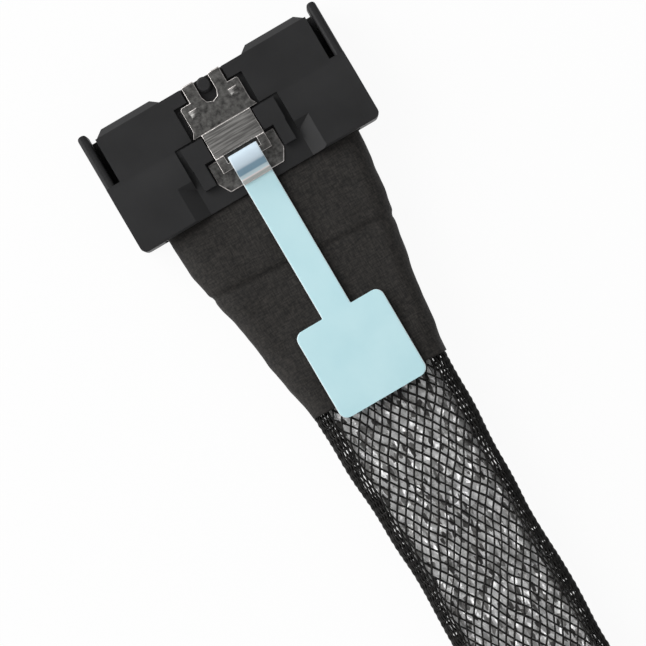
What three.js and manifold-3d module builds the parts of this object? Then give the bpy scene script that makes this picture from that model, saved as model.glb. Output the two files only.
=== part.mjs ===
// A flat high-speed data cable: a low plug with a sprung latch and a pull tab on each end, a cloth-taped
// tail behind each plug, and a braided sleeve over four shielded ribbons. Its length is folded in a hank
// behind the near plug. Millimetres, +Z up. The near plug lies on its underside and points along +Y.

import * as THREE from 'three';
import { mergeVertices } from 'three/addons/utils/BufferGeometryUtils.js';
import Module from 'manifold-3d';

const wasm = await Module();
wasm.setup();

// Clearances
const gap = 0.3;
const fit = 0.1;

// Paddle card and its gold contacts
const contactCount = 37;
const contactPitch = 0.6;
const contactWidth = 0.38;
const contactThickness = 0.05;
const contactBar = 0.5;
const contactTail = 0.675;
const contactFront = 0.1;
const cardEdge = 1.2;
const cardThickness = 1;
const cardSetback = 1.25;
const cardNoseBevel = 0.3;
const cardShoulder = 2.4;
const cardTail = 3.5;

// Housing, outside
const bodyDepth = 15.45;
const shroudSide = 1;
const shroudWall = 1.3;
const slotWidth = 0.75;
const slotDepth = 6.1;
const slotWeb = 1;
const earWidth = 1.25;
const earReach = 1.25;
const earRound = 0.5;
const rearStep = 0.7;
const stepStart = 7.1;
const stepEnd = 8.75;
const rearCorner = 0.8;
const rearBevel = 0.25;
const leadIn = 0.8;
const leadInDrop = 0.9;
const leadInSlant = 1;
const leadInInset = 0.25;
const leadInWidth = 9;

// Housing, inside
const mouthSide = 2.2;
const mouthHeight = 4.4;
const mouthDepth = 7.85;
const partition = 1;
const rearWall = 1.2;
const chamberSide = 1.5;
const portSide = 3;

// Seat of the latch in the upper shell
const seatDepth = 1;
const seatFloor = 0.5;
const seatWidth = 14.8;
const scoopReach = 2.5;
const scoopLength = 3.6;
const scoopSlope = 1.6;
const pocketRear = 7.3;
const blockHeight = 1.2;
const blockWidth = 3.05;
const blockFront = 8.85;
const blockStep = 5.8;
const blockRear = 2.85;
const blockRearWidth = 1.65;
const postRadius = 0.86;
const postCollar = 0.14;
const postCollarDrop = 0.45;

// Latch lever: a front plate on two bending prongs, and a ramp with a window for the strap
const steel = 0.3;
const plateProud = 0.2;
const pocketDepth = 0.8;
const prongInner = 1.06;
const prongOuter = 2.7;
const prongLength = 2.1;
const hookDrop = 0.8;
const hookProud = 0.15;
const slotEnd = 3.3;
const plateWidth = 8.3;
const plateFlare = 0.45;
const flareLength = 0.9;
const foldLine = 9.15;
const rampWidth = 7;
const rampCrease = 5.54;
const rampRise = 1.25;
const barRear = 3.55;
const barRise = 0.2;
const barDepth = 0.85;
const lanceWidth = 1.1;
const lanceLength = 1;
const lanceHeight = 0.35;
const lanceLevel = 0.3;
const lanceCrown = 0.6;
const lanceSpacing = 5.7;
const lanceFromFront = 4;

// Fixed plate under the ramp
const baseWidth = 9.5;
const baseNeckWidth = 6.8;
const baseNeck = 1.3;
const baseRear = 1.17;
const baseCorner = 1.55;
const baseCornerSide = 0.9;

// Pull tab, one folded and laminated film
const film = 0.35;
const strapWidth = 4.1;
const padWidth = 12.4;
const padLength = 12.1;
const padOverhang = 1.4;
const padCorner = 1.1;
const filmLift = 0.25;
const filmEase = 0.15;
const foldReach = 1;

// Cloth tape round the tail: lengths behind the housing, with the overall width and thickness there
const tapeWall = 0.4;
const tapeTuck = 1;
const tapeLength = 29;
const tapeRoot = 4;
const tapeRootWidth = 27.2;
const tapeRootHeight = 6.6;
const tapeLap = 9.8;
const tapeLapWidth = 25.5;
const tapeLapHeight = 6.8;
const tapeWaist = 19.8;
const tapeWaistWidth = 22;
const tapeWaistHeight = 7.7;
const tapeEase = 0.4;

// Braided sleeve and the shielded ribbons inside it
const sleeveWidth = 17.5;
const sleeveThickness = 6.6;
const sleeveWall = 0.5;
const sleeveCorner = 2.6;
const sleeveTuck = 6;
const sleeveSteps = 48;
const ribbonWidth = 12;
const ribbonThickness = 0.9;
const ribbonLayer = 1.3;
const ribbonStagger = 0.45;
const ribbonPartAtCard = 0.5;
const ribbonOverCard = 1.1;
const ribbonFanEnd = 4;
const ribbonFanShare = 0.87;
const ribbonMidway = 0.5;
const ribbonMidwayShare = 0.45;
const mouldRear = 2;

// Strap round the hank
const tieBack = 142.65;
const tieBreadth = 8;
const tieThickness = 1;
const tieLowRun = 4.65;
const tieHighRun = 11.5;

// Sizes that follow from those above
const tongueHalf = (contactCount - 1) * contactPitch / 2 + cardEdge;
const mouthHalf = tongueHalf + mouthSide;
const shroudHalf = mouthHalf + shroudSide;
const earInner = shroudHalf + slotWidth;
const bodyHalf = earInner + earWidth;
const plugDepth = bodyDepth + earReach;
const shroudRise = mouthHeight / 2 + shroudWall;
const bodyRise = shroudRise + rearStep;
const seatRise = bodyRise - seatDepth;
const chamberRise = seatRise - seatFloor;
const chamberHalf = bodyHalf - chamberSide;
const partitionFront = bodyDepth - mouthDepth;
const partitionRear = partitionFront - partition;
const portHalf = bodyHalf - portSide;
const cardRise = cardThickness / 2;
const cardFront = bodyDepth - cardSetback;
const cardBack = partitionRear - fit;
const shoulderHalf = tongueHalf + cardShoulder;
const pocketRise = shroudRise - pocketDepth;
const plateTop = shroudRise + plateProud;
const rampTop = plateTop + rampRise;
const barTop = rampTop + barRise;
const baseRise = seatRise + steel;
const hookFront = bodyDepth + hookProud;
const hookFace = hookFront - steel;
const tailHalf = portHalf - gap;
const tailRise = chamberRise - fit;
const slotStart = bodyDepth - slotDepth;
const padEnd = tapeLength + padOverhang;
const padStart = padEnd - padLength;
const tapeStations = [
  { back: tapeRoot, width: tapeRootWidth, height: tapeRootHeight },
  { back: tapeLap, width: tapeLapWidth, height: tapeLapHeight },
  { back: tapeWaist, width: tapeWaistWidth, height: tapeWaistHeight },
  {
    back: tapeLength,
    width: sleeveWidth + (tapeWall + tapeEase) * 2,
    height: sleeveThickness + (tapeWall + tapeEase) * 2,
  },
];
// The origin is under the middle of the near plug's flat underside
const nearRear = -(rearBevel + stepStart) / 2;

// Route of the sleeve: distance behind the near tape's end, and height of its centre above the floor
const route = [
  [-sleeveTuck, bodyRise], [0, bodyRise], [10, 4.08], [24, 3.62], [40, 3.37], [62, 3.35], [84, 3.35],
  [106, 3.5], [122, 4.2], [134, tieLowRun], [151, tieLowRun], [166, 4.1], [183, 3.5], [201, 3.35],
  [221.4, 3.35], [229.85, 5.22], [236.72, 10.49], [240.72, 18.17], [241.1, 26.82], [237.78, 34.82],
  [231.4, 40.67], [223.14, 43.27], [214.56, 42.14], [207.26, 37.49], [198.65, 28.9], [190.07, 20.31],
  [183.86, 15.54], [176.64, 12.55], [168.86, tieHighRun], [155, tieHighRun], [140, tieHighRun],
  [126, 11.4], [113, 11.18], [108, 11.15], [102, 11.15],
];
const tapeEnd = nearRear - tapeLength;
const path = new THREE.CatmullRomCurve3(
  route.map(([back, height]) => new THREE.Vector3(0, tapeEnd - back, height)),
  false,
  'centripetal',
);
const routeEnd = path.getPointAt(1);

const black = { color: 0x2a2a2b, roughness: 0.55, metalness: 0 };
const finishes = {
  housing: new THREE.MeshStandardMaterial(black),
  mould: new THREE.MeshStandardMaterial({ color: 0x3b3a36, roughness: 0.6, metalness: 0 }),
  board: new THREE.MeshStandardMaterial({ color: 0x1f4a33, roughness: 0.5, metalness: 0 }),
  gold: new THREE.MeshStandardMaterial({ color: 0xd9b25a, roughness: 0.3, metalness: 1 }),
  steel: new THREE.MeshStandardMaterial({ color: 0x8d8b85, roughness: 0.38, metalness: 1 }),
  film: new THREE.MeshStandardMaterial({ color: 0xb9e0e8, roughness: 0.35, metalness: 0 }),
  tape: new THREE.MeshStandardMaterial({ color: 0x2b2825, roughness: 0.85, metalness: 0 }),
  braid: new THREE.MeshStandardMaterial({ color: 0x24231f, roughness: 0.6, metalness: 0 }),
  foil: new THREE.MeshStandardMaterial({ color: 0xc9c9cb, roughness: 0.3, metalness: 1 }),
};

// A closed geometry as a solid that can be joined and cut
function solid(geometry) {
  geometry.deleteAttribute('normal');
  geometry.deleteAttribute('uv');
  const merged = mergeVertices(geometry, 1e-4);
  return new wasm.Manifold(new wasm.Mesh({
    numProp: 3,
    vertProperties: merged.attributes.position.array,
    triVerts: new Uint32Array(merged.index.array),
  }));
}

function geometryOf(shape) {
  const { vertProperties, triVerts } = shape.getMesh();
  const geometry = new THREE.BufferGeometry();
  geometry.setAttribute('position', new THREE.BufferAttribute(vertProperties, 3));
  geometry.setIndex(new THREE.BufferAttribute(triVerts, 1));
  geometry.computeVertexNormals();
  return geometry;
}

function join(...solids) {
  return solids.reduce((whole, next) => whole.add(next));
}

function cut(whole, ...tools) {
  return tools.reduce((rest, tool) => rest.subtract(tool), whole);
}

function outline(points) {
  return new THREE.Shape(points.map(([a, b]) => new THREE.Vector2(a, b)));
}

function block(x0, x1, y0, y1, z0, z1) {
  const box = new THREE.BoxGeometry(x1 - x0, y1 - y0, z1 - z0);
  return solid(box.translate((x0 + x1) / 2, (y0 + y1) / 2, (z0 + z1) / 2));
}

function extruded(shape, depth, segments) {
  return new THREE.ExtrudeGeometry(shape, { depth, bevelEnabled: false, curveSegments: segments });
}

// Extrusions of an outline seen from above, from the side (Y, Z) and from the front (X, Z)
function plan(shape, z0, z1, segments = 2) {
  return solid(extruded(shape, z1 - z0, segments).translate(0, 0, z0));
}

function side(shape, halfWidth, segments = 2) {
  const turn = new THREE.Matrix4().makeBasis(
    new THREE.Vector3(0, 1, 0), new THREE.Vector3(0, 0, 1), new THREE.Vector3(1, 0, 0));
  return solid(extruded(shape, halfWidth * 2, segments).translate(0, 0, -halfWidth).applyMatrix4(turn));
}

function front(shape, y0, y1, segments = 2) {
  const turn = new THREE.Matrix4().makeBasis(
    new THREE.Vector3(1, 0, 0), new THREE.Vector3(0, 0, 1), new THREE.Vector3(0, -1, 0));
  return solid(extruded(shape, y1 - y0, segments).applyMatrix4(turn).translate(0, y1, 0));
}

function mirrored(solidRight) {
  return join(solidRight, solidRight.mirror([1, 0, 0]));
}

function roundedRectangle(x0, x1, y0, y1, radius) {
  const shape = new THREE.Shape();
  shape.absarc(x1 - radius, y1 - radius, radius, 0, Math.PI / 2);
  shape.absarc(x0 + radius, y1 - radius, radius, Math.PI / 2, Math.PI);
  shape.absarc(x0 + radius, y0 + radius, radius, Math.PI, Math.PI * 1.5);
  shape.absarc(x1 - radius, y0 + radius, radius, Math.PI * 1.5, Math.PI * 2);
  return shape;
}

// Points of a rounded rectangle about its centre, three to a corner
function cableSection(width, height, corner) {
  const shape = roundedRectangle(-width / 2, width / 2, -height / 2, height / 2, corner);
  return [0, 1, 2, 3].flatMap((quarter) => [0, 1, 2].map((step) => {
    const angle = (quarter + step / 2) * Math.PI / 2;
    const centre = shape.curves.filter((curve) => curve.isEllipseCurve)[quarter];
    return new THREE.Vector2(
      centre.aX + corner * Math.cos(angle),
      centre.aY + corner * Math.sin(angle),
    );
  }));
}

// A skin through rings of points, closed by its two end rings, or by the inner rings when it is hollow
function loft(rings, innerRings) {
  const count = rings[0].length;
  const points = [...rings, ...(innerRings ?? [])].flat();
  const faces = [];
  const wall = (from, to, inward) => {
    for (let i = 0; i < count; i += 1) {
      const next = (i + 1) % count;
      const quad = [from + i, from + next, to + next, to + i];
      const [a, b, c, d] = inward ? quad.reverse() : quad;
      faces.push(a, b, c, a, c, d);
    }
  };
  for (let ring = 0; ring < rings.length - 1; ring += 1) {
    wall(ring * count, (ring + 1) * count, false);
  }
  const last = (rings.length - 1) * count;
  if (innerRings) {
    const inner = rings.length * count;
    for (let ring = 0; ring < innerRings.length - 1; ring += 1) {
      wall(inner + ring * count, inner + (ring + 1) * count, true);
    }
    wall(0, inner, true);
    wall(last, inner + last, false);
  } else {
    for (let i = 1; i < count - 1; i += 1) {
      faces.push(0, i + 1, i);
      faces.push(last, last + i, last + i + 1);
    }
  }
  const geometry = new THREE.BufferGeometry().setFromPoints(points);
  geometry.setIndex(faces);
  geometry.computeVertexNormals();
  return geometry;
}

// The outside of one shell as a solid from the parting plane up, with Z measured from that plane
function shellBody() {
  const body = new THREE.Shape();
  body.moveTo(bodyHalf, slotStart);
  body.lineTo(shroudHalf, slotStart);
  body.lineTo(shroudHalf, bodyDepth);
  body.lineTo(-shroudHalf, bodyDepth);
  body.lineTo(-shroudHalf, slotStart);
  body.lineTo(-bodyHalf, slotStart);
  body.absarc(-bodyHalf + rearCorner, rearCorner, rearCorner, Math.PI, Math.PI * 1.5);
  body.absarc(bodyHalf - rearCorner, rearCorner, rearCorner, Math.PI * 1.5, Math.PI * 2);
  const profile = outline([
    [0, 0], [bodyDepth, 0], [bodyDepth, shroudRise], [stepEnd, shroudRise], [stepStart, bodyRise],
    [rearBevel, bodyRise], [0, bodyRise - rearBevel],
  ]);
  return plan(body, 0, bodyRise).intersect(side(profile, bodyHalf));
}

// A guide ear beside the shroud, round on top and at its tip
function ear() {
  const section = new THREE.Shape();
  section.moveTo(earInner, 0);
  section.lineTo(bodyHalf, 0);
  section.absarc(bodyHalf - earRound, shroudRise - earRound, earRound, 0, Math.PI / 2);
  section.absarc(earInner + earRound, shroudRise - earRound, earRound, Math.PI / 2, Math.PI);
  const tip = new THREE.Shape();
  tip.moveTo(earInner, slotStart - gap);
  tip.lineTo(bodyHalf, slotStart - gap);
  tip.absarc(bodyHalf - earRound, plugDepth - earRound, earRound, 0, Math.PI / 2);
  tip.absarc(earInner + earRound, plugDepth - earRound, earRound, Math.PI / 2, Math.PI);
  return front(section, slotStart - gap, plugDepth).intersect(plan(tip, 0, shroudRise));
}

// A sloped lip on the front edge that leads the socket into the mouth
function leadInLip() {
  const outer = shroudHalf - leadInInset;
  const inner = outer - leadInWidth;
  const root = bodyDepth - leadIn;
  const lip = outline([
    [inner, root], [outer, root], [outer, bodyDepth], [outer - leadInSlant, bodyDepth + leadIn],
    [inner + leadInSlant, bodyDepth + leadIn], [inner, bodyDepth],
  ]);
  const profile = outline([
    [root, 0], [bodyDepth + leadIn, 0], [bodyDepth + leadIn, shroudRise - leadInDrop],
    [bodyDepth, shroudRise], [root, shroudRise],
  ]);
  return plan(lip, 0, shroudRise).intersect(side(profile, shroudHalf));
}

// The hollows that both shells share: mouth, slot for the card, solder chamber and cable port
function hollows() {
  const slotHalf = tongueHalf + fit;
  const slotRise = cardRise + contactThickness + fit;
  return [
    block(-mouthHalf, mouthHalf, partitionFront, plugDepth, -mouthHeight / 2, mouthHeight / 2),
    block(-slotHalf, slotHalf, partitionRear - gap, partitionFront + gap, -slotRise, slotRise),
    block(-chamberHalf, chamberHalf, rearWall, partitionRear, -chamberRise, chamberRise),
    block(-portHalf, portHalf, -rearWall, rearWall * 2, -chamberRise, chamberRise),
  ];
}

function shell() {
  return cut(join(shellBody(), mirrored(ear()), mirrored(leadInLip())), ...hollows());
}

// Everything cut out of the top for the latch: its seat, the scoops beside it, and the plate's pocket
function latchRecess() {
  const seatHalf = seatWidth / 2;
  const over = bodyRise + gap;
  const scoopOut = seatHalf + scoopReach * over / bodyRise;
  const scoopSection = outline([[seatHalf - gap, seatRise], [seatHalf, seatRise],
    [scoopOut, over], [seatHalf - gap, over]]);
  const scoopProfile = outline([[-gap, seatRise], [scoopLength, seatRise],
    [scoopLength + scoopSlope, over], [-gap, over]]);
  const scoop = front(scoopSection, -gap, scoopLength + scoopSlope)
    .intersect(side(scoopProfile, bodyHalf));
  const pocketHalf = plateWidth / 2 + plateFlare + gap;
  const prongTop = bodyDepth - prongLength + gap;
  return [
    block(-seatHalf, seatHalf, -gap, blockFront + gap, seatRise, over),
    mirrored(scoop),
    block(-pocketHalf, pocketHalf, pocketRear, prongTop, pocketRise, over),
    block(-prongOuter - gap, prongOuter + gap, prongTop - gap, plugDepth, pocketRise, over),
    mirrored(block(prongInner - gap, prongOuter + gap, hookFace - fit, plugDepth,
      plateTop - steel - hookDrop, over)),
  ];
}

// The pair of guide blocks that stand on the seat beside the ramp
function guideBlocks() {
  const inner = rampWidth / 2 + gap / 2;
  const outer = inner + blockWidth;
  const rearOuter = outer - fit;
  const top = seatRise + blockHeight;
  const frontPart = block(inner, outer, blockStep, blockFront, seatRise, top);
  const rearPart = block(rearOuter - blockRearWidth, rearOuter, blockRear, blockStep, seatRise, top);
  return mirrored(join(frontPart, rearPart));
}

// The round post between the prongs, on its wider collar
function post() {
  const height = plateTop - fit;
  const collar = height - postCollarDrop;
  const wide = postRadius + postCollar;
  const profile = [[0, pocketRise - gap], [wide, pocketRise - gap], [wide, collar],
    [postRadius, collar], [postRadius, height - fit], [postRadius - fit, height], [0, height]];
  const lathe = new THREE.LatheGeometry(profile.map(([r, z]) => new THREE.Vector2(r, z)), 16);
  const centre = bodyDepth - wide + fit;
  return solid(lathe.rotateX(Math.PI / 2).translate(0, centre, 0));
}

function upperShell() {
  return join(cut(shell(), ...latchRecess()), guideBlocks(), post());
}

// The lower shell also closes the bottom of the slot beside each ear
function lowerShell() {
  const web = block(shroudHalf - gap, earInner + gap, slotStart - gap, bodyDepth,
    shroudRise - slotWeb, shroudRise);
  return join(shell(), mirrored(web)).mirror([0, 0, 1]);
}

// The card is wider behind the partition, so it can't be drawn out through its slot
function paddleCard() {
  const shape = outline([
    [-shoulderHalf, cardTail], [shoulderHalf, cardTail], [shoulderHalf, cardBack],
    [tongueHalf, cardBack], [tongueHalf, cardFront], [-tongueHalf, cardFront],
    [-tongueHalf, cardBack], [-shoulderHalf, cardBack],
  ]);
  const nose = outline([
    [cardTail, -cardRise], [cardFront - cardNoseBevel, -cardRise],
    [cardFront, -cardRise + cardNoseBevel], [cardFront, cardRise - cardNoseBevel],
    [cardFront - cardNoseBevel, cardRise], [cardTail, cardRise],
  ]);
  return plan(shape, -cardRise, cardRise).intersect(side(nose, shoulderHalf));
}

// One face's row of contacts, joined at its root inside the mould
function contactRow() {
  const tip = cardFront - cardNoseBevel - contactFront;
  const root = cardTail + contactTail + contactBar;
  const rowHalf = (contactCount - 1) * contactPitch / 2 + contactWidth / 2;
  const points = [[rowHalf, root - contactBar], [rowHalf, root]];
  for (let i = contactCount - 1; i >= 0; i -= 1) {
    const x = (i - (contactCount - 1) / 2) * contactPitch;
    if (i < contactCount - 1) {
      points.push([x + contactWidth / 2, root]);
    }
    points.push([x + contactWidth / 2, tip], [x - contactWidth / 2, tip]);
    if (i > 0) {
      points.push([x - contactWidth / 2, root]);
    }
  }
  points.push([-rowHalf, root - contactBar]);
  return plan(outline(points), cardRise, cardRise + contactThickness);
}

// Hot-melt block that holds the card's tail and the ends of the ribbons in the chamber
function innerMould() {
  const half = chamberHalf - fit;
  const rise = chamberRise - fit;
  const slotRise = cardRise + contactThickness + fit;
  const slotHalf = shoulderHalf + fit;
  const ribbonSlot = ribbonThickness / 2 + fit;
  const ribbonOuter = ribbonPartAtCard / 2 + ribbonWidth + fit;
  const ribbonInner = ribbonPartAtCard / 2 - fit;
  const ribbonRoom = block(ribbonInner, ribbonOuter, 0, ribbonStart() + fit,
    ribbonOverCard - ribbonSlot, ribbonOverCard + ribbonSlot);
  return cut(
    block(-half, half, mouldRear, partitionRear - fit, -rise, rise),
    block(-slotHalf, slotHalf, cardTail - fit, partitionRear, -slotRise, slotRise),
    mirrored(ribbonRoom),
    mirrored(ribbonRoom.mirror([0, 0, 1])),
  );
}

function ribbonStart() {
  return cardTail + partition;
}

function latchBase() {
  const half = baseWidth / 2;
  const neck = baseNeckWidth / 2;
  const shoulder = blockStep - gap;
  const shape = outline([
    [-half + baseCornerSide, baseRear], [half - baseCornerSide, baseRear], [half, baseRear + baseCorner],
    [half, shoulder], [neck, shoulder], [neck, shoulder + baseNeck], [-neck, shoulder + baseNeck],
    [-neck, shoulder], [-half, shoulder], [-half, baseRear + baseCorner],
  ]);
  return plan(shape, seatRise, baseRise);
}

// Half of the lever's outline, from the prong's inner edge round to the bar
function leverOutline() {
  const wide = plateWidth / 2;
  const shoulder = bodyDepth - prongLength;
  const crest = bodyDepth - slotEnd + prongInner;
  const shape = new THREE.Shape();
  shape.moveTo(prongInner, hookFront);
  shape.lineTo(prongInner, crest);
  shape.absarc(0, crest, prongInner, 0, -Math.PI, true);
  shape.lineTo(-prongInner, hookFront);
  shape.lineTo(-prongOuter, hookFront);
  shape.lineTo(-prongOuter, shoulder);
  shape.absarc(-wide + gap, shoulder - gap, gap, Math.PI / 2, Math.PI);
  shape.lineTo(-wide, foldLine + flareLength);
  shape.lineTo(-wide - plateFlare, foldLine);
  shape.lineTo(-rampWidth / 2, foldLine);
  shape.lineTo(-rampWidth / 2, barRear);
  shape.lineTo(rampWidth / 2, barRear);
  shape.lineTo(rampWidth / 2, foldLine);
  shape.lineTo(wide + plateFlare, foldLine);
  shape.lineTo(wide, foldLine + flareLength);
  shape.absarc(wide - gap, shoulder - gap, gap, 0, Math.PI / 2);
  shape.lineTo(prongOuter, shoulder);
  shape.lineTo(prongOuter, hookFront);
  shape.lineTo(prongInner, hookFront);
  return shape;
}

// The lever's section along the plug: hook over the front edge, flat plate, ramp and level bar
function leverProfile() {
  return outline([
    [hookFace, plateTop - steel - hookDrop], [hookFront, plateTop - steel - hookDrop],
    [hookFront, plateTop - fit], [hookFront - fit, plateTop], [foldLine, plateTop],
    [rampCrease, rampTop], [barRear, barTop], [barRear, barTop - steel], [rampCrease, rampTop - steel],
    [foldLine, plateTop - steel], [hookFace, plateTop - steel],
  ]);
}

// A raised tongue on the plate, sloped to the front and cut square at the rear, that locks in the socket
function lance(x) {
  const rear = bodyDepth - lanceFromFront;
  const top = plateTop + lanceHeight;
  const profile = outline([
    [rear, plateTop - fit], [rear + lanceLength, plateTop - fit], [rear + lanceLength, plateTop],
    [rear + lanceLength * lanceCrown, top - fit], [rear + lanceLength * lanceLevel, top], [rear, top],
  ]);
  return side(profile, lanceWidth / 2).translate([x, 0, 0]);
}

function latchLever() {
  const strip = plan(leverOutline(), -bodyRise, bodyRise * 2).intersect(side(leverProfile(), bodyHalf));
  const windowHalf = strapWidth / 2 + gap;
  const window = block(-windowHalf, windowHalf, barRear + barDepth, rampCrease, 0, bodyRise * 2);
  return join(cut(strip, window), lance(-lanceSpacing / 2), lance(lanceSpacing / 2));
}

// The film's underside from the pad's end up to the fixed plate, then its loop round the lever's bar
function pullTab() {
  const lowest = tapeStations.map(({ back, height }) => [-back, height / 2 + filmLift]);
  const baseTop = baseRise + filmLift;
  const loopLow = barTop - steel - gap - film;
  const loopHigh = barTop + gap + film;
  const barFront = barRear + barDepth;
  const nose = barFront + gap + film;
  const run = [
    [-padEnd, tapeStations.at(-1).height / 2 + filmLift], ...lowest.reverse(), [0, baseTop - fit],
    [baseRear, baseTop],
  ];
  const foldRear = baseRear + foldReach;
  const underside = [...run, [foldRear, loopLow - gap], [barRear - gap, loopLow],
    [barFront, loopLow], [nose, loopLow + film], [nose, loopHigh - film], [barFront, loopHigh],
    [barRear, loopHigh]];
  const topside = [[barRear - film, loopHigh - film / 2], [foldRear, baseTop + film * 2]];
  const back = run.map(([y, z]) => [y, z + film]).reverse();
  const profile = outline([...underside, ...topside, ...back]);
  profile.holes.push(outline([
    [barRear - gap, loopLow + film], [barRear - gap - filmEase, (loopLow + loopHigh) / 2],
    [barRear - gap, loopHigh - film], [barFront + gap, loopHigh - film], [barFront + gap, loopLow + film],
  ]));
  const pad = plan(roundedRectangle(-padWidth / 2, padWidth / 2, -padEnd, -padStart, padCorner),
    -bodyRise, bodyRise * 2);
  const strap = block(-strapWidth / 2, strapWidth / 2, -padStart - gap, bodyDepth,
    -bodyRise, bodyRise * 2);
  return side(profile, padWidth / 2).intersect(join(pad, strap));
}

function sectionRing(points, y) {
  return points.map((point) => new THREE.Vector3(point.x, y, point.y));
}

// The wrap starts inside the cable port and narrows to the sleeve, which it holds by its end
function tapeWrap() {
  const stations = [
    { back: -tapeTuck, width: tailHalf * 2, height: tailRise * 2 },
    { back: 0, width: tailHalf * 2, height: tailRise * 2 },
    ...tapeStations,
  ];
  const ring = (inset) => stations.map(({ back, width, height }) => {
    const corner = Math.min(sleeveCorner, height / 2 - tapeWall) - inset;
    return sectionRing(cableSection(width - inset * 2, height - inset * 2, corner), -back);
  });
  return loft(ring(0), ring(tapeWall));
}

function sleeve() {
  const half = sleeveWidth / 2;
  const rise = sleeveThickness / 2;
  const section = roundedRectangle(-half, half, -rise, rise, sleeveCorner);
  section.holes.push(roundedRectangle(-half + sleeveWall, half - sleeveWall, -rise + sleeveWall,
    rise - sleeveWall, sleeveCorner - sleeveWall));
  return new THREE.ExtrudeGeometry(section, { steps: sleeveSteps, extrudePath: path, curveSegments: 1 });
}

// A ribbon's way through one tail, from the card back to the sleeve: Y, X and height off the mid-plane
function ribbonTail(sideways, layer) {
  const atCard = (ribbonPartAtCard + ribbonWidth) / 2 * sideways;
  const inSleeve = ribbonStagger * sideways;
  const overCard = ribbonOverCard * Math.sign(layer);
  const narrowing = (back) => THREE.MathUtils.lerp(atCard, inSleeve, back);
  return [
    [ribbonStart(), atCard, overCard],
    [mouldRear, atCard, overCard],
    [-ribbonFanEnd, atCard, layer * ribbonFanShare],
    [-tapeLength * ribbonMidway, narrowing(ribbonMidwayShare), layer],
    [-tapeLength + sleeveTuck + gap, inSleeve, layer],
  ];
}

// One ribbon from card to card; the fold turns it over, so it lies on the other side of the far card
function ribbon(sideways, layer) {
  const across = new THREE.Vector3(1, 0, 0);
  const nearAt = plugPlace('near');
  const farAt = plugPlace('far');
  const stations = ribbonTail(sideways, layer).map(([y, x, z]) => ({
    at: new THREE.Vector3(x, nearAt.y + y, nearAt.z + z), up: new THREE.Vector3(0, 0, 1),
  }));
  for (let i = 0; i <= sleeveSteps; i += 1) {
    const up = path.getTangentAt(i / sleeveSteps).cross(across);
    const at = path.getPointAt(i / sleeveSteps).addScaledVector(up, layer);
    stations.push({ at: at.setX(ribbonStagger * sideways), up });
  }
  stations.push(...ribbonTail(sideways, -layer).reverse().map(([y, x, z]) => ({
    at: new THREE.Vector3(x, farAt.y + y, farAt.z + z), up: new THREE.Vector3(0, 0, -1),
  })));
  const corners = [[1, 1], [-1, 1], [-1, -1], [1, -1]];
  return loft(stations.map(({ at, up }) => corners.map(([x, z]) => at.clone()
    .addScaledVector(across, x * ribbonWidth / 2)
    .addScaledVector(up, z * ribbonThickness / 2))));
}

// A soft strap round both runs of the hank
function hankTie() {
  const half = sleeveWidth / 2 + gap;
  const low = tieLowRun - sleeveThickness / 2 - gap;
  const high = tieHighRun + sleeveThickness / 2 + gap;
  const ring = roundedRectangle(-half - tieThickness, half + tieThickness, low - tieThickness,
    high + tieThickness, sleeveCorner + tieThickness);
  ring.holes.push(roundedRectangle(-half, half, low, high, sleeveCorner));
  return front(ring, tapeEnd - tieBack - tieBreadth / 2, tapeEnd - tieBack + tieBreadth / 2);
}

function mesh(name, geometry, material) {
  const part = new THREE.Mesh(geometry, material);
  part.name = name;
  return part;
}

// Where a plug's rear edge and parting plane lie: the near one on the floor, the far one at the route's end
function plugPlace(end) {
  return end === 'near'
    ? new THREE.Vector3(0, nearRear, bodyRise)
    : new THREE.Vector3(0, routeEnd.y - sleeveTuck + tapeLength, routeEnd.z);
}

function plug(end) {
  const parts = [
    mesh(`${end}_upper_shell`, geometryOf(upperShell()), finishes.housing),
    mesh(`${end}_lower_shell`, geometryOf(lowerShell()), finishes.housing),
    mesh(`${end}_paddle_card`, geometryOf(paddleCard()), finishes.board),
    mesh(`${end}_upper_contacts`, geometryOf(contactRow()), finishes.gold),
    mesh(`${end}_lower_contacts`, geometryOf(contactRow().mirror([0, 0, 1])), finishes.gold),
    mesh(`${end}_inner_mould`, geometryOf(innerMould()), finishes.mould),
    mesh(`${end}_latch_base`, geometryOf(latchBase()), finishes.steel),
    mesh(`${end}_latch_lever`, geometryOf(latchLever()), finishes.steel),
    mesh(`${end}_pull_tab`, geometryOf(pullTab()), finishes.film),
    mesh(`${end}_tape_wrap`, tapeWrap(), finishes.tape),
  ];
  const assembly = new THREE.Group();
  assembly.add(...parts);
  assembly.position.copy(plugPlace(end));
  return assembly;
}

const group = new THREE.Group();
group.add(plug('near'), plug('far'));
group.add(mesh('braided_sleeve', sleeve(), finishes.braid));
group.add(mesh('ribbon_1', ribbon(-1, ribbonLayer * 1.5), finishes.foil));
group.add(mesh('ribbon_2', ribbon(1, ribbonLayer * 0.5), finishes.foil));
group.add(mesh('ribbon_3', ribbon(-1, -ribbonLayer * 0.5), finishes.foil));
group.add(mesh('ribbon_4', ribbon(1, -ribbonLayer * 1.5), finishes.foil));
group.add(mesh('hank_tie', geometryOf(hankTie()), finishes.tape));

export default group;
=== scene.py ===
import math

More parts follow.
